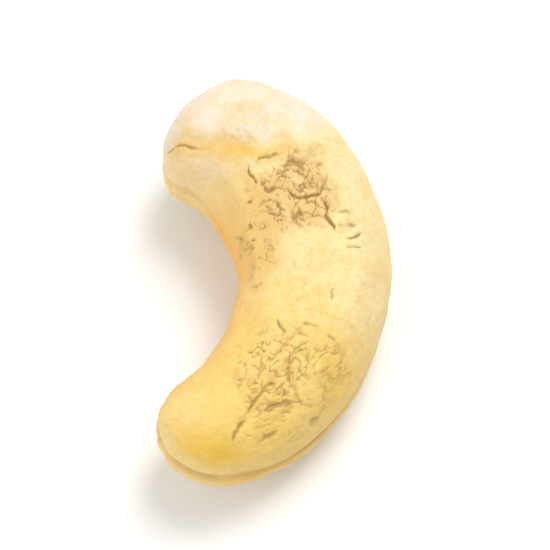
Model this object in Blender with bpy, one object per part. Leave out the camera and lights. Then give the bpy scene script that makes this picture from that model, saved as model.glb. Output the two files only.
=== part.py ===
"""A whole cashew kernel, shelled and skinned, lying on its side on a small flat spot.

It is one solid: two seed halves grown together, with the seam between them open as a groove
all the way round. Metres, +Z up. The long way of the crescent is Y, its back faces +X and its
hollow side faces -X. The origin is the middle of the outline, on the surface it lies on.
"""

import bmesh
import bpy
import numpy as np
from mathutils import Vector, noise

MM = 0.001

# Ribs along the crescent, from the lower tip round the back to the upper one: the middle's x
# and y and its height above the surface, the way the rib points at the back in degrees from
# +X, its half width and its half thickness. Millimetres.
RIBS = (
    (0.2, -12.5, 3.9, -56.0, 3.5, 3.4),
    (2.5, -11.4, 3.95, -50.0, 3.6, 3.55),
    (5.1, -9.8, 4.0, -40.0, 4.15, 3.95),
    (7.4, -7.4, 4.2, -27.0, 4.6, 4.25),
    (8.9, -4.2, 4.42, -14.0, 4.8, 4.5),
    (9.7, -0.8, 4.6, -1.0, 5.05, 4.7),
    (9.2, 2.7, 4.76, 12.0, 5.35, 4.85),
    (7.8, 5.9, 4.88, 25.0, 5.4, 4.95),
    (5.8, 8.6, 4.95, 40.0, 5.3, 4.95),
    (3.0, 10.0, 4.95, 56.0, 4.8, 4.75),
    (-0.3, 10.3, 4.85, 70.0, 4.2, 4.35),
)

# How square the cross-section is: 2 is an ellipse.
SECTION_POWER = 2.15
# The rounded ends start this far from the tips.
CAP_LENGTH = 3.8

# The box that is bent into the kernel: faces across each of its sides, how far its rows crowd
# towards the seam, and the slope below which an edge counts as running across.
CAGE_ROUND = 16
CROWD = 1.35
LEVEL = 0.01

# The seam between the halves: groove depth on the back, in the hollow and at the tips.
SEAM_DEPTH_BACK = 0.12
SEAM_DEPTH_HOLLOW = 0.26
SEAM_DEPTH_TIP = 0.24
SEAM_HALF_WIDTH = 0.42
# The groove deepens between these two distances across, from the back to the hollow side.
HOLLOW_START = 1.0
HOLLOW_FULL = -2.5
# The seam climbs towards the hollow side, and more so at the lower tip.
SEAM_SLOPE = 0.07
SEAM_TIP_RISE = 0.9
TIP_REACH = 6.5
# The under half stands out past the upper one at the lower tip, as a lip with its edge
# between these two heights from the seam.
LIP_OUT = 0.26
LIP_REACH = 2.6
LIP_TOP = 0.3
LIP_FULL = -0.7

# The sunken middle of the upper side, inside a smooth raised rim along the back.
DISH_DEPTH = 0.34
DISH_ACROSS = -0.3
DISH_HALF_WIDTH = 2.3
DISH_START = 4.5
DISH_END = 23.5
RIM_HEIGHT = 0.1
RIM_ACROSS = 3.3
RIM_HALF_WIDTH = 0.9

# Creases on the upper side: depth, half width, then points seen from above, all before the
# kernel is centred. The first follows the hollow side, the next three lie beside the upper
# lobe, and the rest are nearer the lower tip.
CREASES = (
    (0.26, 0.5, ((2.6, 5.3), (3.6, 4.1), (4.8, 1.0), (5.2, -1.4), (4.9, -4.0))),
    (0.18, 0.5, ((-1.5, 8.9), (2.2, 7.4), (4.8, 6.8), (8.0, 7.2))),
    (0.2, 0.5, ((6.0, 5.2), (6.5, 6.5), (8.0, 6.9), (9.6, 5.7))),
    (0.22, 0.5, ((8.0, 5.2), (9.0, 4.3), (10.7, 4.4), (10.9, 2.9), (11.7, 1.2))),
    (0.2, 0.5, ((8.7, -7.5), (7.0, -9.1), (5.4, -11.8))),
    (0.15, 0.5, ((8.0, -4.9), (7.9, -5.9), (7.1, -6.8))),
    (0.16, 0.5, ((9.9, -5.0), (9.4, -7.4), (11.0, -8.6))),
    (0.14, 0.5, ((6.9, -11.6), (8.2, -10.2))),
)

# Slow swells that keep any two sides from being alike. They die out over the underside,
# between these heights from the seam.
SWELL_HEIGHT = 0.16
SWELL_SIZE = 5.5
SWELL_NONE = -4.2
SWELL_FULL = -2.8

# Where the upper side's relief starts and is full, as heights from the seam.
UPPER_START = 0.8
UPPER_FULL = 2.4
# The length over which the sunken middle begins and ends.
DISH_FADE = 4.0


def smooth_step(low, high, value):
    """0 below low, 1 above high, and an S curve between them. high may be the smaller one."""
    share = np.clip((value - low) / (high - low), 0.0, 1.0)
    return share * share * (3.0 - 2.0 * share)


def bump(value, middle, half_width):
    """1 at middle, falling away like a bell."""
    return np.exp(-(((value - middle) / half_width) ** 2))


def through(knots, values, at):
    """A smooth curve through values at knots, read at many places."""
    slopes = np.gradient(values, knots, axis=0)
    span = np.clip(np.searchsorted(knots, at, side="right") - 1, 0, len(knots) - 2)
    length = (knots[span + 1] - knots[span])[:, None]
    share = (at - knots[span])[:, None] / length
    start, end = values[span], values[span + 1]
    leave, arrive = slopes[span] * length, slopes[span + 1] * length
    square, cube = share**2, share**3
    return (
        start * (2 * cube - 3 * square + 1)
        + leave * (cube - 2 * square + share)
        + end * (3 * square - 2 * cube)
        + arrive * (cube - square)
    )


def spine_knots():
    """The distance along the spine, in millimetres, at each rib."""
    points = np.array(RIBS)[:, :2]
    steps = np.linalg.norm(np.diff(points, axis=0), axis=1)
    return np.concatenate([[0.0], np.cumsum(steps)])


def cage(length_in_radii):
    """A long box, two wide and high, divided into even faces."""
    mesh = bmesh.new()
    bmesh.ops.create_cube(mesh, size=2.0)
    bmesh.ops.scale(mesh, vec=(1.0, length_in_radii, 1.0), verts=mesh.verts)
    lengthwise = [e for e in mesh.edges if abs(e.verts[0].co.y - e.verts[1].co.y) > LEVEL]
    cuts = round(CAGE_ROUND * length_in_radii) - 1
    bmesh.ops.subdivide_edges(mesh, edges=lengthwise, cuts=cuts, use_grid_fill=True)
    crosswise = [e for e in mesh.edges if abs(e.verts[0].co.y - e.verts[1].co.y) < LEVEL]
    bmesh.ops.subdivide_edges(mesh, edges=crosswise, cuts=CAGE_ROUND - 1, use_grid_fill=True)
    return mesh


def round_off(points, length_in_radii):
    """The cage's points on a capsule: how far along it each lies, and its direction across."""
    box = points.copy()
    box[:, 2] = np.sign(box[:, 2]) * np.abs(box[:, 2]) ** CROWD
    core = np.clip(box[:, 1], 1.0 - length_in_radii, length_in_radii - 1.0)
    ray = box - np.stack([0 * core, core, 0 * core], axis=1)
    ray = np.tan(ray * np.pi / 4)
    ray /= np.linalg.norm(ray, axis=1)[:, None]
    return core + ray[:, 1], ray[:, 0], ray[:, 2]


def kernel_form(points, length_in_radii):
    """Where each point of the cage lies on the kernel, and its place along, across and up.

    Up is counted from the seam.
    """
    knots = spine_knots()
    along_radii, side, rise = round_off(points, length_in_radii)
    along = (along_radii / length_in_radii + 1.0) / 2.0 * knots[-1]
    rib = through(knots, np.array(RIBS), along)
    facing = np.radians(rib[:, 3])
    closing = np.hypot(side, rise)
    turn = np.arctan2(rise, side)
    square_off = (
        np.abs(np.cos(turn)) ** SECTION_POWER + np.abs(np.sin(turn)) ** SECTION_POWER
    ) ** (-1.0 / SECTION_POWER)
    across = closing * square_off * np.cos(turn) * rib[:, 4]
    up = closing * square_off * np.sin(turn) * rib[:, 5]
    seam_rise = SEAM_TIP_RISE * smooth_step(TIP_REACH, 0.0, along) - SEAM_SLOPE * across
    place = rib[:, :3].copy()
    place[:, 0] += across * np.cos(facing)
    place[:, 1] += across * np.sin(facing)
    place[:, 2] += up + seam_rise * (1.0 - (up / rib[:, 5]) ** 2)
    return place, along, across, up


def near_line(x, y, line):
    """The distance of each point, seen from above, from a line through several points."""
    nearest = np.full(len(x), np.inf)
    for (ax, ay), (bx, by) in zip(line[:-1], line[1:]):
        length_squared = (bx - ax) ** 2 + (by - ay) ** 2
        share = np.clip(((x - ax) * (bx - ax) + (y - ay) * (by - ay)) / length_squared, 0, 1)
        nearest = np.minimum(
            nearest, np.hypot(x - ax - share * (bx - ax), y - ay - share * (by - ay))
        )
    return nearest


def seam_relief(along, across, up):
    """The groove between the halves, and the under half's lip past the upper one."""
    total = spine_knots()[-1]
    low_tip = smooth_step(TIP_REACH, 0.0, along)
    tips = np.maximum(low_tip, smooth_step(total - TIP_REACH, total, along))
    hollow = smooth_step(HOLLOW_START, HOLLOW_FULL, across)
    depth = SEAM_DEPTH_BACK + (SEAM_DEPTH_HOLLOW - SEAM_DEPTH_BACK) * hollow
    depth = depth + (SEAM_DEPTH_TIP - depth) * tips
    groove = -depth * bump(up, 0.0, SEAM_HALF_WIDTH)
    lip = LIP_OUT * low_tip * smooth_step(LIP_TOP, LIP_FULL, up) * bump(up, 0.0, LIP_REACH)
    return groove + lip


def side_relief(place, along, across, up):
    """The sunken upper side with its rim, the folds in the hollow and the creases."""
    upper = smooth_step(UPPER_START, UPPER_FULL, up)
    stretch = smooth_step(DISH_START, DISH_START + DISH_FADE, along)
    stretch = stretch * smooth_step(DISH_END, DISH_END - DISH_FADE, along)
    relief = -DISH_DEPTH * upper * stretch * bump(across, DISH_ACROSS, DISH_HALF_WIDTH)
    relief += RIM_HEIGHT * upper * stretch * bump(across, RIM_ACROSS, RIM_HALF_WIDTH)
    for depth, half_width, line in CREASES:
        apart = near_line(place[:, 0], place[:, 1], line)
        relief -= depth * upper * bump(apart, 0.0, half_width)
    return relief


def swell(place, up):
    """Slow, smooth unevenness, kept off the underside so that it lies flat."""
    uneven = np.array([noise.noise(Vector(p) / SWELL_SIZE) for p in place])
    return SWELL_HEIGHT * uneven * smooth_step(SWELL_NONE, SWELL_FULL, up)


def build_kernel():
    """The kernel as one closed mesh, flat where it rests."""
    length_in_radii = spine_knots()[-1] / 2.0 / CAP_LENGTH
    mesh = cage(length_in_radii)
    points = np.array([v.co for v in mesh.verts])
    place, along, across, up = kernel_form(points, length_in_radii)
    for vert, spot in zip(mesh.verts, place):
        vert.co = spot
    bmesh.ops.recalc_face_normals(mesh, faces=mesh.faces)
    mesh.normal_update()
    normals = np.array([v.normal for v in mesh.verts])
    relief = seam_relief(along, across, up)
    relief += side_relief(place, along, across, up)
    relief += swell(place, up)
    place = place + relief[:, None] * normals
    centre = (place.min(axis=0) + place.max(axis=0)) / 2.0
    centre[2] = 0.0
    for vert, spot in zip(mesh.verts, place - centre):
        vert.co = spot * MM
    cut = bmesh.ops.bisect_plane(
        mesh,
        geom=mesh.verts[:] + mesh.edges[:] + mesh.faces[:],
        dist=1e-7,
        plane_co=(0.0, 0.0, 0.0),
        plane_no=(0.0, 0.0, -1.0),
        clear_outer=True,
    )
    rim = [e for e in cut["geom_cut"] if isinstance(e, bmesh.types.BMEdge)]
    bmesh.ops.edgeloop_fill(mesh, edges=rim)
    return mesh


def kernel_material():
    """Cream seed flesh with a dull, slightly waxy surface."""
    material = bpy.data.materials.new("kernel_flesh")
    material.use_nodes = True
    shader = material.node_tree.nodes["Principled BSDF"]
    shader.inputs["Base Color"].default_value = (0.87, 0.68, 0.36, 1.0)
    shader.inputs["Roughness"].default_value = 0.5
    shader.inputs["Metallic"].default_value = 0.0
    return material


def main():
    for old in list(bpy.data.objects):
        bpy.data.objects.remove(old, do_unlink=True)
    mesh = build_kernel()
    data = bpy.data.meshes.new("kernel")
    mesh.to_mesh(data)
    mesh.free()
    data.shade_smooth()
    kernel = bpy.data.objects.new("kernel", data)
    bpy.context.scene.collection.objects.link(kernel)
    data.materials.append(kernel_material())


main()
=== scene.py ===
"""Adds a shelled cashew kernel with its fine surface, and a pale studio stage around it.

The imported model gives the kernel's size and place. The kernel here follows the same ribs with a
much finer mesh, and adds furrows, crinkles, pits and grain. Lengths are in millimetres until the
mesh is placed, and in metres after that.
"""

import math

import bmesh
import bpy
import numpy as np
from bpy.props import FloatProperty, FloatVectorProperty, IntProperty, PointerProperty
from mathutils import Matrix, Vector, noise


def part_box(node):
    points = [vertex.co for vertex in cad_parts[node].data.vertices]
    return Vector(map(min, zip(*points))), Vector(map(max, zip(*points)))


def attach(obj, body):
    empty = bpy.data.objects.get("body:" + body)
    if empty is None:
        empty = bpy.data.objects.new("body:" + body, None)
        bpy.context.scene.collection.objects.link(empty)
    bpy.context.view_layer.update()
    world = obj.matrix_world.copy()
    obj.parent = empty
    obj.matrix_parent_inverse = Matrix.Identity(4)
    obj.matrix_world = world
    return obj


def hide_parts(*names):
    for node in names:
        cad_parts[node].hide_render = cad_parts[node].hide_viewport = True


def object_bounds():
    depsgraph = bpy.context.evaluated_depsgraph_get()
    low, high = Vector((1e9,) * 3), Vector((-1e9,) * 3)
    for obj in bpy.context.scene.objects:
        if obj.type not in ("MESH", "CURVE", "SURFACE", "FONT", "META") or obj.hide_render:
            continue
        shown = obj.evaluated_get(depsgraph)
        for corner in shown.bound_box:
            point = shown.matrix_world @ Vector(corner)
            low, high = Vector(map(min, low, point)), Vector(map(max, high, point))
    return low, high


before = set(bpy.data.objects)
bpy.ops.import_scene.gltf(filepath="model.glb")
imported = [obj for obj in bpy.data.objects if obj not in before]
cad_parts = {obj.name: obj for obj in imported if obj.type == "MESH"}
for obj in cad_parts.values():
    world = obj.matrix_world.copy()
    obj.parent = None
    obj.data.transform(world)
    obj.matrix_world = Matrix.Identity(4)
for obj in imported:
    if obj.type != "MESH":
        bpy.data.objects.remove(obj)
CAD_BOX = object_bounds()

bl_info = {
    "name": "Cashew Kernel",
    "version": (1, 0, 0),
    "blender": (4, 5, 0),
    "location": "3D View > Sidebar > Cashew",
    "description": "Adds a shelled cashew kernel and a pale studio stage",
    "category": "Add Mesh",
}

MM = 0.001

# Ribs along the crescent, from the lower tip round the back to the upper one: the middle's x
# and y and its height above the floor, the way the rib points at the back in degrees from +X,
# its half width and its half thickness.
RIBS = (
    (0.2, -12.5, 3.9, -56.0, 3.5, 3.4),
    (2.5, -11.4, 3.95, -50.0, 3.6, 3.55),
    (5.1, -9.8, 4.0, -40.0, 4.15, 3.95),
    (7.4, -7.4, 4.2, -27.0, 4.6, 4.25),
    (8.9, -4.2, 4.42, -14.0, 4.8, 4.5),
    (9.7, -0.8, 4.6, -1.0, 5.05, 4.7),
    (9.2, 2.7, 4.76, 12.0, 5.35, 4.85),
    (7.8, 5.9, 4.88, 25.0, 5.4, 4.95),
    (5.8, 8.6, 4.95, 40.0, 5.3, 4.95),
    (3.0, 10.0, 4.95, 56.0, 4.8, 4.75),
    (-0.3, 10.3, 4.85, 70.0, 4.2, 4.35),
)

# How square the cross-section is, where 2 is an ellipse, and how far from the tips the
# rounded ends start.
SECTION_POWER = 2.15
CAP_LENGTH = 3.8

# How far the mesh's rows crowd towards the seam, how far apart lengthwise the ends of an edge
# that runs across may be, and the height in the box above which the faces are divided again.
CROWD = 1.35
LEVEL = 0.01
FINE_ABOVE = 0.74

# The seam between the halves: the groove's depth along the back, in the hollow and at the
# tips, and its half width, where across the hollow starts and is full, how the seam slopes
# across and rises at the lower tip, how far a tip reaches, and the under half's lip.
SEAM_DEPTH_BACK = 0.12
SEAM_DEPTH_HOLLOW = 0.26
SEAM_DEPTH_TIP = 0.24
SEAM_HALF_WIDTH = 0.42
HOLLOW_START = 1.0
HOLLOW_FULL = -2.5
SEAM_SLOPE = 0.07
SEAM_TIP_RISE = 0.9
TIP_REACH = 6.5
LIP_OUT = 0.26
LIP_REACH = 2.6
LIP_TOP = 0.3
LIP_FULL = -0.7
# The fine line at the bottom of the groove and the painted shade along it, and how far the groove
# strays up and down, over how long a stretch.
SEAM_LINE_HALF_WIDTH = 0.13
SEAM_SHADE_HALF_WIDTH = 0.3
SEAM_WANDER = 0.2
SEAM_WANDER_SIZE = 3.4
# How the fine line, the creases and the furrows fade in and out along their length: the stretch
# over which they change, the noise's shift, the share that is always left, and the noise at
# which they are faintest and deepest.
SEAM_FADE = (3.0, 11.0, 0.35, -0.3, 0.25)
CREASE_FADE = (2.6, 6.0, 0.45, -0.3, 0.2)
FURROW_FADE = (0.75, 2.0, 0.65, -0.35, 0.1)

# The sunken middle of the upper side, inside a smooth raised rim along the back.
DISH_DEPTH = 0.34
DISH_ACROSS = -0.3
DISH_HALF_WIDTH = 2.3
DISH_START = 4.5
DISH_END = 23.5
DISH_FADE = 4.0
RIM_HEIGHT = 0.1
RIM_ACROSS = 3.3
RIM_HALF_WIDTH = 0.9

# The heights above the seam at which the upper side starts and is full.
UPPER_START = 0.8
UPPER_FULL = 2.4

# Broad creases on the upper side: depth, half width, then points seen from above.
CREASES = (
    (0.26, 0.5, ((2.6, 5.3), (3.6, 4.1), (4.8, 1.0), (5.2, -1.4), (4.9, -4.0))),
    (0.18, 0.5, ((-1.5, 8.9), (2.2, 7.4), (4.8, 6.8), (8.0, 7.2))),
    (0.2, 0.5, ((6.0, 5.2), (6.5, 6.5), (8.0, 6.9), (9.6, 5.7))),
    (0.22, 0.5, ((8.0, 5.2), (9.0, 4.3), (10.7, 4.4), (10.9, 2.9), (11.7, 1.2))),
    (0.2, 0.5, ((8.7, -7.5), (7.0, -9.1), (5.4, -11.8))),
    (0.15, 0.5, ((8.0, -4.9), (7.9, -5.9), (7.1, -6.8))),
    (0.16, 0.5, ((9.9, -5.0), (9.4, -7.4), (11.0, -8.6))),
    (0.14, 0.5, ((6.9, -11.6), (8.2, -10.2))),
)

# Slow swells, which die out over the underside between these heights from the seam.
SWELL_HEIGHT = 0.16
SWELL_SIZE = 5.5
SWELL_NONE = -4.2
SWELL_FULL = -2.8

# Narrow furrows on the upper side: strength, then points seen from above. Those beside the
# upper lobe come first, then the short ticks on the rim, the marks in the smooth middle and the
# lobe's own furrow, then those nearer the lower tip.
FURROWS = (
    (1.0, ((5.4, 5.4), (5.6, 4.7), (6.0, 4.1))),
    (0.6, ((6.0, 5.5), (6.3, 6.0), (7.1, 6.2), (7.5, 6.2))),
    (0.75, ((7.7, 5.8), (8.7, 5.3), (9.2, 4.9))),
    (0.5, ((9.7, 5.4), (10.3, 5.8))),
    (0.7, ((6.2, 4.0), (6.7, 3.5), (7.3, 3.8), (7.7, 3.8))),
    (1.0, ((7.7, 3.8), (8.3, 3.2), (8.9, 3.3), (9.8, 3.4), (10.1, 3.9), (10.2, 4.4))),
    (0.7, ((7.1, 3.2), (7.2, 2.7), (7.6, 2.1))),
    (0.5, ((8.5, 2.1), (9.5, 2.1))),
    (1.0, ((10.1, 3.3), (10.5, 2.7), (10.5, 1.8), (11.0, 1.1), (11.0, 0.8))),
    (0.45, ((10.8, 2.2), (11.5, 2.3), (12.1, 2.2))),
    (0.5, ((11.0, 1.4), (11.7, 1.5), (12.6, 1.5))),
    (0.65, ((11.5, 0.5), (12.0, 0.6), (12.7, 1.0))),
    (0.5, ((11.6, -0.2), (12.8, 0.0))),
    (0.6, ((5.2, 3.2), (5.6, 3.1))),
    (0.5, ((6.4, 2.6), (6.7, 2.4))),
    (0.6, ((5.2, 1.8), (5.5, 1.5))),
    (0.6, ((4.6, 1.3), (4.9, 1.0))),
    (0.6, ((5.5, 0.9), (5.8, 0.6))),
    (0.6, ((4.5, 0.6), (4.8, 0.2))),
    (0.5, ((5.8, -1.1), (6.0, -1.4))),
    (0.6, ((4.5, -1.8), (4.9, -2.2))),
    (0.6, ((5.5, -2.2), (5.9, -2.5), (6.3, -2.4))),
    (0.4, ((8.1, -1.0), (8.2, -1.8))),
    (0.55, ((10.7, -3.0), (10.9, -3.5), (10.8, -4.0))),
    (0.55, ((-1.8, 7.7), (-0.4, 7.9), (1.2, 7.4), (2.6, 6.9))),
    (0.8, ((7.0, -4.8), (7.3, -5.5), (7.6, -5.8), (7.4, -6.2))),
    (0.4, ((8.3, -5.7), (8.7, -6.1))),
    (0.7, ((8.9, -5.3), (9.4, -5.3), (9.9, -5.6))),
    (0.6, ((10.4, -6.1), (10.9, -6.2))),
    (0.7, ((6.1, -6.3), (6.2, -6.8), (6.3, -7.4))),
    (0.7, ((7.7, -6.7), (7.4, -6.9), (7.1, -7.6), (6.7, -8.0))),
    (0.6, ((8.3, -7.3), (8.7, -7.2), (9.0, -7.6), (9.5, -7.2))),
    (0.5, ((11.2, -7.6), (10.9, -8.2))),
    (0.5, ((7.2, -8.2), (7.1, -8.8))),
    (0.9, ((7.9, -7.9), (7.8, -8.5), (8.0, -9.3))),
    (0.5, ((7.9, -9.6), (7.5, -10.1))),
    (0.4, ((8.7, -8.5), (9.3, -9.0))),
    (0.5, ((9.9, -9.2), (10.5, -9.3))),
    (0.4, ((4.8, -8.7), (5.2, -9.0))),
    (0.7, ((7.0, -9.0), (6.6, -9.4))),
    (1.0, ((6.3, -9.5), (6.0, -9.9), (5.8, -10.5), (5.3, -11.2))),
    (0.9, ((5.2, -11.4), (4.9, -12.2), (4.5, -12.6))),
    (0.9, ((6.8, -11.0), (6.9, -10.6), (7.3, -10.5), (8.0, -10.4), (8.4, -10.6))),
    (0.4, ((8.6, -10.4), (9.6, -10.2))),
    (0.4, ((4.4, -10.8), (4.9, -10.9))),
    (0.7, ((5.3, -12.3), (5.8, -12.4))),
    (1.0, ((6.2, -12.8), (6.5, -12.3), (7.0, -12.1), (7.5, -11.8))),
)
# How the furrows stray from those lines: over how long a stretch, and how far.
FURROW_WANDERS = ((1.1, 0.2), (0.42, 0.13))
# How much a furrow narrows at its ends, the share of its length that an end takes, and its
# width as a share of the given one: the least, and what is added where it is deep.
FURROW_TAPER = 0.55
FURROW_END = 0.3
FURROW_LEAST_WIDTH = 0.75
FURROW_ADDED_WIDTH = 0.35

# Patches of crinkles: the middle seen from above, the radius, the strength, and whether on the
# upper side or the under one.
PATCHES = (
    (8.2, 3.7, 4.0, 1.0, 1),
    (7.6, -8.8, 4.7, 1.0, 1),
    (5.2, 8.6, 2.4, 0.35, 1),
    (5.4, -0.2, 3.2, 0.6, 1),
    (9.6, 3.0, 3.6, 0.8, -1),
    (7.0, -8.0, 3.2, 0.7, -1),
    (4.0, 9.6, 2.6, 0.5, -1),
)
# Two sizes of crinkle: the length and width of the knobs between them, the width of the
# crinkle as a share of that, and the strength.
CRINKLES = (
    (1.15, 0.85, 0.1, 0.75),
    (0.6, 0.5, 0.14, 0.75),
)
# How far and over how long a stretch the crinkles wind, in knobs, the noise between which they
# break off, and the length of the gaps, in knobs.
CRINKLE_WARP = 0.75
CRINKLE_WARP_SIZE = 0.8
CRINKLE_GONE = -0.25
CRINKLE_KEPT = 0.15
CRINKLE_GAP = 1.3
# How strongly the smooth flesh is crinkled, and how a patch's edge strays and fades inwards.
CRINKLE_EVERYWHERE = 0.2
PATCH_EDGE_STRAY = 1.3
PATCH_EDGE_SIZE = 2.2
PATCH_CORE = 0.45
KNOB_HEIGHT = 0.045
KNOB_SIZE = 0.8

# Small pits: how far apart the places for them are, their radius, the share of those places
# that have one, and how crinkled the flesh is where they start and where they are full.
PIT_SPACING = 1.3
PIT_RADIUS = 0.3
PIT_SHARE = 0.35
PIT_START = 0.1
PIT_FULL = 0.5

# Soft dimpling of the whole surface, and the noise at which a dimple starts and is full.
DIMPLE_HEIGHT = 0.07
DIMPLE_SIZE = 1.9
DIMPLE_START = 0.3
DIMPLE_FULL = -0.6
# Faint wrinkles along the kernel: height, then how long and wide they are.
WRINKLES = (
    (0.06, 5.0, 0.95),
    (0.03, 2.6, 0.42),
)
WRINKLE_START = 0.4
WRINKLE_FULL = -0.4

# The painted shade in a crinkle, as a share of a furrow's.
CRINKLE_SHADE = 0.85

# The painted highlight on the rim along the back: its half width, and where along the kernel it
# starts and is full.
RIM_HIGHLIGHT_HALF_WIDTH = 1.3
RIM_HIGHLIGHT_START = 6.0
RIM_HIGHLIGHT_FULL = 13.0

# The painted shade round the flanks, a warmer band: its height above the seam, its half width,
# and how much of it the upper end loses.
FLANK_SHADE_HEIGHT = -0.6
FLANK_SHADE_HALF_WIDTH = 2.3
FLANK_SHADE_LOSS_AT_END = 0.6
# The painted shade in a peachy tone on the hollow side: where across it starts and is full, and
# how much of it the upper end and the upper side lose.
HOLLOW_SHADE_START = -1.2
HOLLOW_SHADE_FULL = -4.6
HOLLOW_SHADE_LOSS_AT_END = 0.85
HOLLOW_SHADE_LOSS_ABOVE = 0.4

# The ends of the kernel, for their colours, the upper lobe's lighter tone being partly its own
# and
# partly a painted highlight: the middle, then how far from it the colour starts and where it is
# full.
LOBE_MIDDLE = (4.2, 11.5, 7.0)
LOBE_REACH = (8.2, 3.5)
UPPER_END_MIDDLE = (-1.0, 10.5, 5.0)
UPPER_END_REACH = (11.0, 5.0)
LOW_MIDDLE = (8.0, -10.0, 6.5)
LOW_REACH = (10.0, 3.0)

# Golden streaks on the upper side: strength, half width, then points seen from above.
GOLD_STREAKS = (
    (0.9, 0.75, ((3.9, 6.7), (4.8, 6.5), (5.8, 6.4))),
    (0.7, 0.9, ((0.4, 7.7), (3.0, 7.0), (6.4, 6.5), (7.6, 6.8))),
    (1.0, 1.4, ((1.8, -13.1), (4.0, -13.4))),
    (0.5, 1.3, ((10.6, -7.2), (10.9, -9.6))),
    (0.35, 1.8, ((6.2, -9.6), (6.6, -11.8))),
)
GOLD_STRAY = 0.5
GOLD_STRAY_SIZE = 1.5

# The patterns in the flesh, from the broadest to the finest, in lumps per metre.
BROAD_LUMPS = 210.0
MIDDLING_LUMPS = 760.0
SMALL_LUMPS = 2500.0
GRAIN_LUMPS = 5200.0

# How much of the colours under them the warm patches, flecks and rough patches cover at most, and
# the painted shade round the flanks, in the seam and in the pits, and how much less the warm
# patches and flecks cover on the lobe.
WARM_COVER = 0.45
WARM_LESS_ON_LOBE = 0.15
FLECK_COVER = 0.3
FLECK_LESS_ON_LOBE = 0.2
PATCH_COVER = 0.9
FLANK_SHADE_COVER = 0.35
SEAM_SHADE_COVER = 0.4
PIT_SHADE_COVER = 0.35
# How much less painted shade the furrows get at the lower end.
SHADE_LESS_LOW = 0.3

# The floor: the lumps in its colour per metre, how much white they add, and half its size in
# metres.
FLOOR_LUMPS = 60.0
FLOOR_UNEVEN = 0.05
FLOOR_HALF_SIZE = 1.5
WHITE = (1.0, 1.0, 1.0)

# The lights: the size of each square and its place, in metres, and the colour of both.
KEY_SIZE = 0.15
KEY_PLACE = (0.08, 0.11, 0.23)
FILL_SIZE = 0.25
FILL_PLACE = (-0.19, -0.16, 0.15)
LIGHT_COLOUR = (1.0, 0.99, 0.97)

# The width of the camera's sensor, in millimetres, and how near and far it sees, in metres.
SENSOR_WIDTH = 36.0
NEAREST_SEEN = 0.005
FARTHEST_SEEN = 5.0


def smooth_step(low, high, value):
    """0 below low, 1 above high, and an S curve between them. high may be the smaller one."""
    share = np.clip((value - low) / (high - low), 0.0, 1.0)
    return share * share * (3.0 - 2.0 * share)


def bump(value, middle, half_width):
    """1 at middle, falling away like a bell."""
    return np.exp(-(((value - middle) / half_width) ** 2))


def through(knots, values, at):
    """A smooth curve through values at knots, read at many places."""
    slopes = np.gradient(values, knots, axis=0)
    span = np.clip(np.searchsorted(knots, at, side="right") - 1, 0, len(knots) - 2)
    length = (knots[span + 1] - knots[span])[:, None]
    share = (at - knots[span])[:, None] / length
    start, end = values[span], values[span + 1]
    leave, arrive = slopes[span] * length, slopes[span + 1] * length
    square, cube = share**2, share**3
    return (
        start * (2 * cube - 3 * square + 1)
        + leave * (cube - 2 * square + share)
        + end * (3 * square - 2 * cube)
        + arrive * (cube - square)
    )


def spine_knots():
    """The distance along the spine at each rib."""
    points = np.array(RIBS)[:, :2]
    steps = np.linalg.norm(np.diff(points, axis=0), axis=1)
    return np.concatenate([[0.0], np.cumsum(steps)])


def cage(length_in_radii, faces_across):
    """A long box, two wide and high, divided into even faces."""
    mesh = bmesh.new()
    bmesh.ops.create_cube(mesh, size=2.0)
    bmesh.ops.scale(mesh, vec=(1.0, length_in_radii, 1.0), verts=mesh.verts)
    lengthwise = [e for e in mesh.edges if abs(e.verts[0].co.y - e.verts[1].co.y) > LEVEL]
    cuts = round(faces_across * length_in_radii) - 1
    bmesh.ops.subdivide_edges(mesh, edges=lengthwise, cuts=cuts, use_grid_fill=True)
    crosswise = [e for e in mesh.edges if abs(e.verts[0].co.y - e.verts[1].co.y) < LEVEL]
    bmesh.ops.subdivide_edges(mesh, edges=crosswise, cuts=faces_across - 1, use_grid_fill=True)
    upper = [e for e in mesh.edges if min(v.co.z for v in e.verts) > FINE_ABOVE]
    bmesh.ops.subdivide_edges(mesh, edges=upper, cuts=1, use_grid_fill=True)
    return mesh


def round_off(points, length_in_radii):
    """The cage's points on a capsule: how far along it each lies, and its direction across."""
    box = points.copy()
    box[:, 2] = np.sign(box[:, 2]) * np.abs(box[:, 2]) ** CROWD
    core = np.clip(box[:, 1], 1.0 - length_in_radii, length_in_radii - 1.0)
    ray = box.copy()
    ray[:, 1] -= core
    ray = np.tan(ray * np.pi / 4)
    ray /= np.linalg.norm(ray, axis=1)[:, None]
    return core + ray[:, 1], ray[:, 0], ray[:, 2]


def kernel_form(points, length_in_radii):
    """Where each point of the cage lies on the kernel, and its place along, across and up.

    Up is counted from the seam.
    """
    knots = spine_knots()
    along_radii, side, rise = round_off(points, length_in_radii)
    along = (along_radii / length_in_radii + 1.0) / 2.0 * knots[-1]
    rib = through(knots, np.array(RIBS), along)
    facing = np.radians(rib[:, 3])
    closing = np.hypot(side, rise)
    turn = np.arctan2(rise, side)
    square_off = (
        np.abs(np.cos(turn)) ** SECTION_POWER + np.abs(np.sin(turn)) ** SECTION_POWER
    ) ** (-1.0 / SECTION_POWER)
    across = closing * square_off * np.cos(turn) * rib[:, 4]
    up = closing * square_off * np.sin(turn) * rib[:, 5]
    seam_rise = SEAM_TIP_RISE * smooth_step(TIP_REACH, 0.0, along) - SEAM_SLOPE * across
    place = rib[:, :3].copy()
    place[:, 0] += across * np.cos(facing)
    place[:, 1] += across * np.sin(facing)
    place[:, 2] += up + seam_rise * (1.0 - (up / rib[:, 5]) ** 2)
    return place, along, across, up


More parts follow.
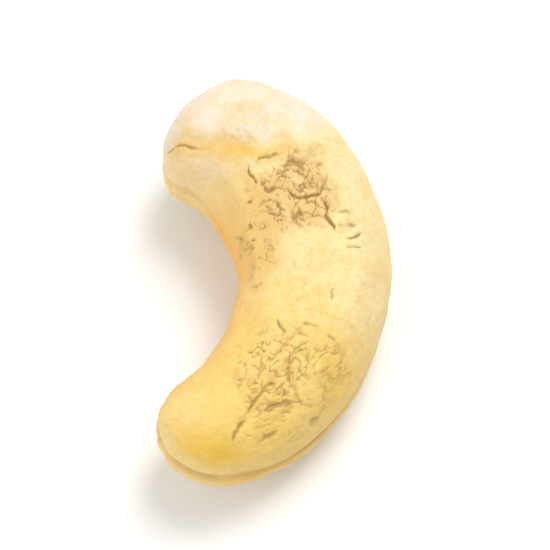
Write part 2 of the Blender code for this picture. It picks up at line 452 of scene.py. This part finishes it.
def near_line(x, y, line):
    """Each point's distance, seen from above, from a line through several points.

    The second result is how far along the line its nearest place is, from 0 to 1.
    """
    corners = np.array(line)
    lengths = np.linalg.norm(np.diff(corners, axis=0), axis=1)
    starts = np.concatenate([[0.0], np.cumsum(lengths)])
    nearest = np.full(len(x), np.inf)
    reached = np.zeros(len(x))
    for index, ((ax, ay), (bx, by)) in enumerate(zip(corners[:-1], corners[1:])):
        length = lengths[index]
        share = np.clip(((x - ax) * (bx - ax) + (y - ay) * (by - ay)) / length**2, 0, 1)
        apart = np.hypot(x - ax - share * (bx - ax), y - ay - share * (by - ay))
        closer = apart < nearest
        nearest = np.where(closer, apart, nearest)
        reached = np.where(closer, (starts[index] + share * length) / starts[-1], reached)
    return nearest, reached


def noise_at(points, size, shift=0.0):
    """Smooth noise, from about -1 to 1, with lumps of that size."""
    start = Vector((shift, -shift, shift))
    return np.array([noise.noise(Vector(p) / size + start) for p in points])


def wander(points, size, reach):
    """The points, each pushed a little by smooth noise."""
    pushes = [noise_at(points, size, shift) for shift in (17.3, 29.7, 41.1)]
    return points + reach * np.stack(pushes, axis=1)


def fading(place, fade):
    """How deep a line that fades in and out is, from place to place, 1 where it is deepest."""
    size, shift, least, faintest, deepest = fade
    return least + (1.0 - least) * smooth_step(faintest, deepest, noise_at(place, size, shift))


def seam_relief(along, across, up, line_depth):
    """The groove between the halves with its fine line, and the under half's lip."""
    total = spine_knots()[-1]
    low_tip = smooth_step(TIP_REACH, 0.0, along)
    tips = np.maximum(low_tip, smooth_step(total - TIP_REACH, total, along))
    hollow = smooth_step(HOLLOW_START, HOLLOW_FULL, across)
    depth = SEAM_DEPTH_BACK + (SEAM_DEPTH_HOLLOW - SEAM_DEPTH_BACK) * hollow
    depth = depth + (SEAM_DEPTH_TIP - depth) * tips
    groove = -depth * bump(up, 0.0, SEAM_HALF_WIDTH)
    line = -line_depth * bump(up, 0.0, SEAM_LINE_HALF_WIDTH)
    lip = LIP_OUT * low_tip * smooth_step(LIP_TOP, LIP_FULL, up) * bump(up, 0.0, LIP_REACH)
    return groove + line + lip


def side_relief(place, along, across, up):
    """The sunken upper side with its rim, and its broad creases."""
    upper = smooth_step(UPPER_START, UPPER_FULL, up)
    stretch = smooth_step(DISH_START, DISH_START + DISH_FADE, along)
    stretch = stretch * smooth_step(DISH_END, DISH_END - DISH_FADE, along)
    relief = -DISH_DEPTH * upper * stretch * bump(across, DISH_ACROSS, DISH_HALF_WIDTH)
    relief += RIM_HEIGHT * upper * stretch * bump(across, RIM_ACROSS, RIM_HALF_WIDTH)
    fade = fading(place, CREASE_FADE)
    for depth, half_width, line in CREASES:
        apart, _ = near_line(place[:, 0], place[:, 1], line)
        relief -= depth * fade * upper * bump(apart, 0.0, half_width)
    return relief


def swell(place, up):
    """Slow, smooth unevenness, kept off the underside so that it lies flat."""
    uneven = noise_at(place, SWELL_SIZE)
    return SWELL_HEIGHT * uneven * smooth_step(SWELL_NONE, SWELL_FULL, up)


def crinkled_share(place, up):
    """How strongly each point is crinkled: a little everywhere, and fully in the patches."""
    share = np.full(len(place), CRINKLE_EVERYWHERE)
    stray = PATCH_EDGE_STRAY * noise_at(place, PATCH_EDGE_SIZE, shift=8.0)
    for x, y, radius, strength, side in PATCHES:
        apart = np.hypot(place[:, 0] - x, place[:, 1] - y) + stray
        facing = smooth_step(UPPER_START, UPPER_FULL, up * side)
        inside = smooth_step(radius, radius * PATCH_CORE, apart)
        share = np.maximum(share, strength * facing * inside)
    return share


def furrow_marks(place, up, half_width):
    """The listed furrows, 1 at the bottom of the deepest."""
    upper = smooth_step(UPPER_START, UPPER_FULL, up)
    moved = place
    for size, reach in FURROW_WANDERS:
        moved = wander(moved, size, reach)
    fade = fading(place, FURROW_FADE)
    marks = np.zeros(len(place))
    for strength, line in FURROWS:
        apart, reached = near_line(moved[:, 0], moved[:, 1], line)
        from_end = np.minimum(reached, 1.0 - reached)
        taper = 1.0 - FURROW_TAPER * smooth_step(FURROW_END, 0.0, from_end)
        width = half_width * taper * (FURROW_LEAST_WIDTH + FURROW_ADDED_WIDTH * fade)
        marks = np.maximum(marks, strength * upper * taper * bump(apart, 0.0, width))
    return marks * fade


def crinkle_marks(place, along, across, up):
    """Short winding crinkles that follow the kernel's bend, broken here and there."""
    marks = np.zeros(len(place))
    for index, (long, wide, width, strength) in enumerate(CRINKLES):
        unrolled = np.stack([along / long, across / wide, up / wide], axis=1)
        warped = wander(unrolled, CRINKLE_WARP_SIZE, CRINKLE_WARP)
        lines = bump(noise_at(warped, 1.0, shift=33.0 + 9.0 * index), 0.0, width)
        gaps = noise_at(place, CRINKLE_GAP * long, shift=7.0 + index)
        kept = smooth_step(CRINKLE_GONE, CRINKLE_KEPT, gaps)
        marks = np.maximum(marks, strength * lines * kept)
    return marks


def pit_marks(place):
    """Small round pits, scattered by chance."""
    marks = np.zeros(len(place))
    for index, point in enumerate(place):
        distances, spots = noise.voronoi(Vector(point) / PIT_SPACING)
        chance = noise.cell(spots[0] * 3.7)
        if chance < PIT_SHARE:
            marks[index] = math.exp(-((distances[0] * PIT_SPACING / PIT_RADIUS) ** 2))
    return marks


def gold_share(place, up):
    """How golden each point of the upper side is, by the streaks."""
    upper = smooth_step(UPPER_START, UPPER_FULL, up)
    moved = wander(place, GOLD_STRAY_SIZE, GOLD_STRAY)
    share = np.zeros(len(place))
    for strength, half_width, line in GOLD_STREAKS:
        apart, _ = near_line(moved[:, 0], moved[:, 1], line)
        share = np.maximum(share, strength * upper * bump(apart, 0.0, half_width))
    return share


def end_share(place, middle, reach):
    """1 near that middle, falling to 0 at the reach's first distance from it."""
    return smooth_step(reach[0], reach[1], np.linalg.norm(place - np.array(middle), axis=1))


def set_places(mesh, places):
    """Moves the vertices of a bmesh, in order."""
    for vert, spot in zip(mesh.verts, places):
        vert.co = spot


def vertex_normals(mesh):
    """The vertices' normals, in order."""
    mesh.normal_update()
    return np.array([vert.normal for vert in mesh.verts])


def fit_box(places, box):
    """Stretches the points so that their outer box is the given one, with 0 as their foot."""
    low, high = places.min(axis=0), places.max(axis=0)
    target_low, target_high = np.array(box[0]), np.array(box[1])
    low[2] = 0.0
    return target_low + (places - low) / (high - low) * (target_high - target_low)


def paint(data, name, values):
    """Stores one number for each vertex, for the material to read."""
    layer = data.attributes.new(name, "FLOAT", "POINT")
    layer.data.foreach_set("value", np.clip(values, 0.0, 1.0).astype(np.float32))


def kernel_mesh(form):
    """The kernel's fine mesh, in metres, with what its material needs painted on it."""
    length_in_radii = spine_knots()[-1] / 2.0 / CAP_LENGTH
    mesh = cage(length_in_radii, form.faces_across)
    points = np.array([v.co for v in mesh.verts])
    place, along, across, up = kernel_form(points, length_in_radii)
    set_places(mesh, place)
    bmesh.ops.recalc_face_normals(mesh, faces=mesh.faces)
    seam_shows = fading(place, SEAM_FADE)
    line_depth = form.seam_line_depth / MM * seam_shows
    from_seam = up + SEAM_WANDER * noise_at(place, SEAM_WANDER_SIZE, shift=13.0)
    relief = seam_relief(along, across, from_seam, line_depth)
    relief += side_relief(place, along, across, up)
    relief += swell(place, up)
    formed = place + relief[:, None] * vertex_normals(mesh)
    set_places(mesh, formed)
    crinkled = crinkled_share(place, up)
    furrows = furrow_marks(place, up, form.furrow_half_width / MM)
    crinkles = crinkle_marks(place, along, across, up) * crinkled
    pits = pit_marks(place) * smooth_step(PIT_START, PIT_FULL, crinkled)
    off_seam = 1.0 - bump(from_seam, 0.0, SEAM_HALF_WIDTH)
    fine = -form.furrow_depth / MM * furrows
    fine -= form.crinkle_depth / MM * crinkles * off_seam
    fine -= form.pit_depth / MM * pits * off_seam
    fine += KNOB_HEIGHT * crinkled * noise_at(place, KNOB_SIZE, shift=4.0)
    dimples = noise_at(place, DIMPLE_SIZE, shift=3.0)
    fine -= DIMPLE_HEIGHT * smooth_step(DIMPLE_START, DIMPLE_FULL, dimples)
    for height, long, wide in WRINKLES:
        lengthwise = np.stack([along / long, across / wide, up / wide], axis=1)
        wrinkles = noise_at(lengthwise, 1.0, shift=5.0)
        fine -= height * smooth_step(WRINKLE_START, WRINKLE_FULL, wrinkles)
    finished = formed + fine[:, None] * vertex_normals(mesh)
    finished[:, 2] = np.maximum(finished[:, 2], 0.0)
    set_places(mesh, fit_box(finished * MM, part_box("kernel")))
    data = bpy.data.meshes.new("kernel_flesh")
    mesh.to_mesh(data)
    mesh.free()
    data.shade_smooth()
    upper = smooth_step(UPPER_START, UPPER_FULL, up)
    upper_end = end_share(place, UPPER_END_MIDDLE, UPPER_END_REACH)
    # A painted highlight on the rim along the back.
    rim = upper * bump(across, RIM_ACROSS, RIM_HIGHLIGHT_HALF_WIDTH)
    rim = rim * smooth_step(RIM_HIGHLIGHT_START, RIM_HIGHLIGHT_FULL, along)
    # Painted shade: a warmer band round the flanks, and a peachy tone on the hollow side.
    flank_shade = bump(up, FLANK_SHADE_HEIGHT, FLANK_SHADE_HALF_WIDTH) * (1.0 - FLANK_SHADE_LOSS_AT_END * upper_end)
    hollow = smooth_step(HOLLOW_SHADE_START, HOLLOW_SHADE_FULL, across)
    hollow = hollow * (1.0 - HOLLOW_SHADE_LOSS_AT_END * upper_end) * (1.0 - HOLLOW_SHADE_LOSS_ABOVE * upper)
    # Painted shade at the bottoms of the furrows and crinkles, then in the pits.
    paint(data, "furrow", np.maximum(furrows, CRINKLE_SHADE * crinkles))
    paint(data, "pit", pits)
    paint(data, "patch", crinkled)
    # Painted shade along the seam's groove.
    paint(data, "seam", bump(from_seam, 0.0, SEAM_SHADE_HALF_WIDTH) * seam_shows)
    paint(data, "gold", gold_share(place, up))
    # The upper lobe, lighter partly in its own tone and partly as a painted highlight.
    paint(data, "lobe", end_share(place, LOBE_MIDDLE, LOBE_REACH))
    paint(data, "low", end_share(place, LOW_MIDDLE, LOW_REACH))
    paint(data, "rim", rim)
    paint(data, "flank_shade", flank_shade)
    paint(data, "hollow", hollow)
    return data


class Wire:
    """One value in a material. Arithmetic on it adds Math nodes."""

    def __init__(self, recipe, socket):
        self.recipe = recipe
        self.socket = socket

    def math(self, operation, first, second):
        settings = {"operation": operation}
        return self.recipe.node("ShaderNodeMath", settings, {0: first, 1: second})

    def __add__(self, other):
        return self.math("ADD", self, other)

    def __radd__(self, other):
        return self.math("ADD", other, self)

    def __sub__(self, other):
        return self.math("SUBTRACT", self, other)

    def __rsub__(self, other):
        return self.math("SUBTRACT", other, self)

    def __mul__(self, other):
        return self.math("MULTIPLY", self, other)

    def __rmul__(self, other):
        return self.math("MULTIPLY", other, self)


class Recipe:
    """A material put together from nodes."""

    def __init__(self, name):
        self.material = bpy.data.materials.new(name)
        self.material.use_nodes = True
        self.tree = self.material.node_tree
        self.tree.nodes.clear()

    def node(self, kind, settings=None, sockets=None, output=0):
        """Adds a node, settings first and then sockets, and gives one output if it has any."""
        made = self.tree.nodes.new(kind)
        for name, value in (settings or {}).items():
            setattr(made, name, value)
        for name, value in (sockets or {}).items():
            if isinstance(value, Wire):
                self.tree.links.new(value.socket, made.inputs[name])
            else:
                made.inputs[name].default_value = value
        return Wire(self, made.outputs[output]) if made.outputs else None

    def painted(self, name):
        """A number that was stored on the mesh."""
        return self.node("ShaderNodeAttribute", {"attribute_name": name}, output="Fac")

    def clouds(self, place, per_metre, detail=3.0, roughness=0.55):
        """Noise from 0 to 1 on the object's own coordinates."""
        sockets = {"Vector": place, "Scale": per_metre, "Detail": detail, "Roughness": roughness}
        return self.node("ShaderNodeTexNoise", None, sockets)

    def between(self, value, low, high):
        """0 below low and 1 above high, with a smooth rise."""
        settings = {"interpolation_type": "SMOOTHSTEP"}
        sockets = {"Value": value, "From Min": low, "From Max": high}
        return self.node("ShaderNodeMapRange", settings, sockets)

    def blend(self, share, first, second):
        """A colour between two others."""
        settings = {"data_type": "RGBA", "clamp_factor": True}
        return self.node("ShaderNodeMix", settings, {0: share, 6: first, 7: second}, output=2)


def opaque(colour):
    """A colour property as four numbers."""
    return (*colour, 1.0)


def flesh_finish(colours):
    """Cream seed flesh, ochre lower down and golden in spots. The upper lobe is lighter, partly
    its own tone and partly a painted highlight, and the back's rim has a painted highlight.
    Painted shade is tan in the furrows, crinkles, pits and seam, and a peachy tone round the
    flanks and the hollow side.
    """
    recipe = Recipe("kernel_flesh")
    place = recipe.node("ShaderNodeTexCoord", output="Object")
    broad = recipe.clouds(place, BROAD_LUMPS, detail=2.0)
    middling = recipe.clouds(place, MIDDLING_LUMPS, detail=4.0)
    small = recipe.clouds(place, SMALL_LUMPS, detail=3.0)
    low = recipe.painted("low")
    ochre = recipe.between(0.75 * low + 0.8 * broad + 0.35 * middling, 0.5, 1.25)
    colour = recipe.blend(ochre, opaque(colours.cream), opaque(colours.ochre))
    lobe = recipe.painted("lobe")
    # Lighter towards the upper lobe, partly its own tone and partly a painted highlight, and
    # towards the back's rim, a painted highlight.
    pale_and_highlight = 1.5 * lobe + 0.3 * recipe.painted("rim")
    pale = recipe.between(pale_and_highlight + 0.45 * broad + 0.3 * middling, 0.4, 1.45)
    colour = recipe.blend(pale, colour, opaque(colours.ivory_and_highlight))
    warm = recipe.between(middling + 0.3 * small, 0.58, 0.85)
    warm = (WARM_COVER - WARM_LESS_ON_LOBE * lobe) * warm
    colour = recipe.blend(warm, colour, opaque(colours.gold))
    flecks = recipe.between(small + 0.25 * middling, 0.62, 0.82)
    flecks = (FLECK_COVER - FLECK_LESS_ON_LOBE * lobe) * flecks
    colour = recipe.blend(flecks, colour, opaque(colours.rough))
    spots = recipe.painted("gold") * recipe.between(middling + small, 0.45, 0.95)
    colour = recipe.blend(spots, colour, opaque(colours.deep_gold))
    stained = middling + 0.6 * small - 0.35 * low
    patch = recipe.painted("patch") * recipe.between(stained, 0.3, 0.8)
    colour = recipe.blend(PATCH_COVER * patch, colour, opaque(colours.rough))
    # Painted shade in a peachy tone round the flanks and on the hollow side.
    flank_shade = FLANK_SHADE_COVER * recipe.painted("flank_shade") + recipe.painted("hollow")
    colour = recipe.blend(flank_shade, colour, opaque(colours.shade_peach))
    # Painted shade in tan at the bottoms of the furrows and crinkles.
    furrow = recipe.painted("furrow")
    furrow_shade = recipe.between(furrow + 0.3 * small, 0.22, 0.85)
    tan = opaque(colours.tan)
    colour = recipe.blend((1.0 - SHADE_LESS_LOW * low) * furrow_shade, colour, tan)
    # Painted shade along the seam's groove.
    colour = recipe.blend(SEAM_SHADE_COVER * recipe.painted("seam"), colour, tan)
    # Painted shade in the pits.
    colour = recipe.blend(PIT_SHADE_COVER * recipe.painted("pit"), colour, tan)
    grain = recipe.clouds(place, GRAIN_LUMPS, detail=2.0)
    height = 0.6 * small + 0.4 * grain
    sockets = {"Strength": 0.75, "Distance": 0.00013, "Height": height}
    normal = recipe.node("ShaderNodeBump", None, sockets)
    roughness = 0.42 + 0.16 * middling + 0.15 * furrow
    shader = recipe.node(
        "ShaderNodeBsdfPrincipled",
        {"subsurface_method": "RANDOM_WALK"},
        {
            "Base Color": colour,
            "Roughness": roughness,
            "Normal": normal,
            "Subsurface Weight": 0.18,
            "Subsurface Radius": (1.0, 0.55, 0.2),
            "Subsurface Scale": 0.0006,
            "IOR": 1.45,
        },
    )
    recipe.node("ShaderNodeOutputMaterial", None, {"Surface": shader})
    return recipe.material


def floor_finish(colour):
    """A matt pale surface with a faint unevenness."""
    recipe = Recipe("pale_floor")
    place = recipe.node("ShaderNodeTexCoord", output="Object")
    uneven = recipe.clouds(place, FLOOR_LUMPS)
    shade = recipe.blend(FLOOR_UNEVEN * uneven, opaque(colour), opaque(WHITE))
    sockets = {"Base Color": shade, "Roughness": 0.9}
    shader = recipe.node("ShaderNodeBsdfPrincipled", None, sockets)
    recipe.node("ShaderNodeOutputMaterial", None, {"Surface": shader})
    return recipe.material


class KernelForm(bpy.types.PropertyGroup):
    """Sizes of the kernel's fine surface."""

    faces_across: IntProperty(
        name="Faces Across",
        description="Faces across each of the four sides, before the upper one is divided again",
        default=48,
        min=8,
        max=50,
    )
    furrow_depth: FloatProperty(
        name="Furrow Depth",
        description="Depth of the deepest furrows on the upper side",
        default=0.00015,
        unit="LENGTH",
        precision=6,
    )
    furrow_half_width: FloatProperty(
        name="Furrow Half Width",
        description="Half the width of the furrows on the upper side",
        default=0.00012,
        unit="LENGTH",
        precision=6,
    )
    crinkle_depth: FloatProperty(
        name="Crinkle Depth",
        description="Depth of the net of crinkles where it is strongest",
        default=0.00012,
        unit="LENGTH",
        precision=6,
    )
    pit_depth: FloatProperty(
        name="Pit Depth",
        description="Depth of the small pits",
        default=0.00006,
        unit="LENGTH",
        precision=6,
    )
    seam_line_depth: FloatProperty(
        name="Seam Line Depth",
        description="Depth of the fine line at the bottom of the groove between the halves",
        default=0.0001,
        unit="LENGTH",
        precision=6,
    )


class KernelColours(bpy.types.PropertyGroup):
    """Colours of the kernel's flesh, and of the painted shade and highlights on it."""

    cream: FloatVectorProperty(
        name="Cream",
        description="The flesh over most of the kernel",
        default=(0.77, 0.655, 0.32),
        subtype="COLOR",
        min=0.0,
        max=1.0,
    )
    ochre: FloatVectorProperty(
        name="Ochre",
        description="The deeper tone of the lower half",
        default=(0.77, 0.56, 0.17),
        subtype="COLOR",
        min=0.0,
        max=1.0,
    )
    # Partly the flesh's own palest tone and partly painted highlight, on the upper lobe and the
    # back's rim.
    ivory_and_highlight: FloatVectorProperty(
        name="Ivory",
        description="The palest flesh, on the upper lobe and the rim",
        default=(0.78, 0.69, 0.58),
        subtype="COLOR",
        min=0.0,
        max=1.0,
    )
    gold: FloatVectorProperty(
        name="Gold",
        description="The warmer flesh between the pale patches",
        default=(0.75, 0.53, 0.15),
        subtype="COLOR",
        min=0.0,
        max=1.0,
    )
    deep_gold: FloatVectorProperty(
        name="Deep Gold",
        description="The most golden spots, beside the lobe and at the lower tip",
        default=(0.7, 0.45, 0.045),
        subtype="COLOR",
        min=0.0,
        max=1.0,
    )
    rough: FloatVectorProperty(
        name="Rough",
        description="The knobs between the crinkles",
        default=(0.66, 0.43, 0.15),
        subtype="COLOR",
        min=0.0,
        max=1.0,
    )
    # The colour of the painted shade round the flanks and on the hollow side.
    shade_peach: FloatVectorProperty(
        name="Peach",
        description="The flesh along the hollow side",
        default=(0.76, 0.43, 0.1),
        subtype="COLOR",
        min=0.0,
        max=1.0,
    )
    # The colour of the painted shade in the furrows, crinkles, pits and seam.
    tan: FloatVectorProperty(
        name="Tan",
        description="The bottoms of the furrows",
        default=(0.33, 0.19, 0.045),
        subtype="COLOR",
        min=0.0,
        max=1.0,
    )


class StudioStage(bpy.types.PropertyGroup):
    """The floor, the lights and the camera's place."""

    floor: FloatVectorProperty(
        name="Floor",
        description="Colour of the floor",
        default=(0.88, 0.88, 0.88),
        subtype="COLOR",
        min=0.0,
        max=1.0,
    )
    elevation: FloatProperty(
        name="Elevation",
        description="How steeply the camera looks down",
        default=math.radians(63.0),
        subtype="ANGLE",
    )
    lens: FloatProperty(
        name="Lens",
        description="Focal length of the camera",
        default=120.0,
        unit="CAMERA",
    )
    view_height: FloatProperty(
        name="View Height",
        description="Height of what the camera sees at the kernel",
        default=0.036,
        unit="LENGTH",
    )
    key_power: FloatProperty(
        name="Key Light",
        description="Power of the soft light above and behind the kernel, on the right",
        default=0.54,
        unit="POWER",
    )
    fill_power: FloatProperty(
        name="Fill Light",
        description="Power of the soft light in front and to the left of the kernel",
        default=0.35,
        unit="POWER",
    )
    sky: FloatProperty(
        name="Sky",
        description="Strength of the even white light from all round",
        default=0.62,
    )


class MESH_OT_cashew_kernel(bpy.types.Operator):
    """Add the kernel, with its fine surface and its finish"""

    bl_idname = "mesh.cashew_kernel"
    bl_label = "Cashew Kernel"

    def execute(self, context):
        data = kernel_mesh(context.scene.cashew_form)
        kernel = bpy.data.objects.new("kernel_flesh", data)
        context.scene.collection.objects.link(kernel)
        data.materials.append(flesh_finish(context.scene.cashew_colours))
        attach(kernel, "root")
        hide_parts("kernel")
        return {"FINISHED"}


def aim(thing, place, target):
    """Puts a light or a camera at a place, facing a target."""
    thing.location = place
    thing.rotation_euler = (Vector(target) - Vector(place)).to_track_quat("-Z", "Y").to_euler()


def soft_light(context, name, power, size, place, target):
    """Adds a square area light."""
    lamp = bpy.data.lights.new(name, "AREA")
    lamp.energy = power
    lamp.size = size
    lamp.color = LIGHT_COLOUR
    light = bpy.data.objects.new(name, lamp)
    context.scene.collection.objects.link(light)
    aim(light, place, target)


class SCENE_OT_cashew_stage(bpy.types.Operator):
    """Add the pale floor, the soft lights and the camera"""

    bl_idname = "scene.cashew_stage"
    bl_label = "Studio Stage"

    def execute(self, context):
        stage = context.scene.cashew_stage
        low, high = CAD_BOX
        middle = (low + high) / 2
        self.add_floor(context, stage)
        self.add_sky(context, stage)
        soft_light(context, "key", stage.key_power, KEY_SIZE, KEY_PLACE, middle)
        soft_light(context, "fill", stage.fill_power, FILL_SIZE, FILL_PLACE, middle)
        self.add_camera(context, stage, middle)
        context.scene.view_settings.view_transform = "Standard"
        return {"FINISHED"}

    def add_floor(self, context, stage):
        mesh = bmesh.new()
        bmesh.ops.create_grid(mesh, x_segments=1, y_segments=1, size=FLOOR_HALF_SIZE)
        data = bpy.data.meshes.new("floor")
        mesh.to_mesh(data)
        mesh.free()
        data.materials.append(floor_finish(stage.floor))
        floor = bpy.data.objects.new("floor", data)
        context.scene.collection.objects.link(floor)

    def add_sky(self, context, stage):
        world = bpy.data.worlds.new("white_room")
        world.use_nodes = True
        background = world.node_tree.nodes["Background"]
        background.inputs["Color"].default_value = opaque(WHITE)
        background.inputs["Strength"].default_value = stage.sky
        context.scene.world = world

    def add_camera(self, context, stage, middle):
        eye = bpy.data.cameras.new("camera")
        eye.lens = stage.lens
        eye.sensor_width = SENSOR_WIDTH
        eye.clip_start = NEAREST_SEEN
        eye.clip_end = FARTHEST_SEEN
        camera = bpy.data.objects.new("camera", eye)
        context.scene.collection.objects.link(camera)
        distance = stage.view_height * stage.lens / SENSOR_WIDTH
        back = Vector((0.0, -math.cos(stage.elevation), math.sin(stage.elevation)))
        aim(camera, middle + distance * back, middle)
        context.scene.camera = camera


class VIEW3D_PT_cashew(bpy.types.Panel):
    """Lists the cashew's operators and settings"""

    bl_label = "Cashew"
    bl_space_type = "VIEW_3D"
    bl_region_type = "UI"
    bl_category = "Cashew"

    def draw(self, context):
        for title, settings, operator in (
            ("Kernel", context.scene.cashew_form, MESH_OT_cashew_kernel.bl_idname),
            ("Colours", context.scene.cashew_colours, None),
            ("Stage", context.scene.cashew_stage, SCENE_OT_cashew_stage.bl_idname),
        ):
            box = self.layout.box()
            box.label(text=title)
            for name in settings.__annotations__:
                box.prop(settings, name)
            if operator:
                box.operator(operator)


CLASSES = (
    KernelForm,
    KernelColours,
    StudioStage,
    MESH_OT_cashew_kernel,
    SCENE_OT_cashew_stage,
    VIEW3D_PT_cashew,
)


def register():
    for cls in CLASSES:
        bpy.utils.register_class(cls)
    bpy.types.Scene.cashew_form = PointerProperty(type=KernelForm)
    bpy.types.Scene.cashew_colours = PointerProperty(type=KernelColours)
    bpy.types.Scene.cashew_stage = PointerProperty(type=StudioStage)


def unregister():
    del bpy.types.Scene.cashew_stage
    del bpy.types.Scene.cashew_colours
    del bpy.types.Scene.cashew_form
    for cls in reversed(CLASSES):
        bpy.utils.unregister_class(cls)


def main():
    register()
    bpy.ops.mesh.cashew_kernel()
    bpy.ops.scene.cashew_stage()


if __name__ == "__main__":
    main()
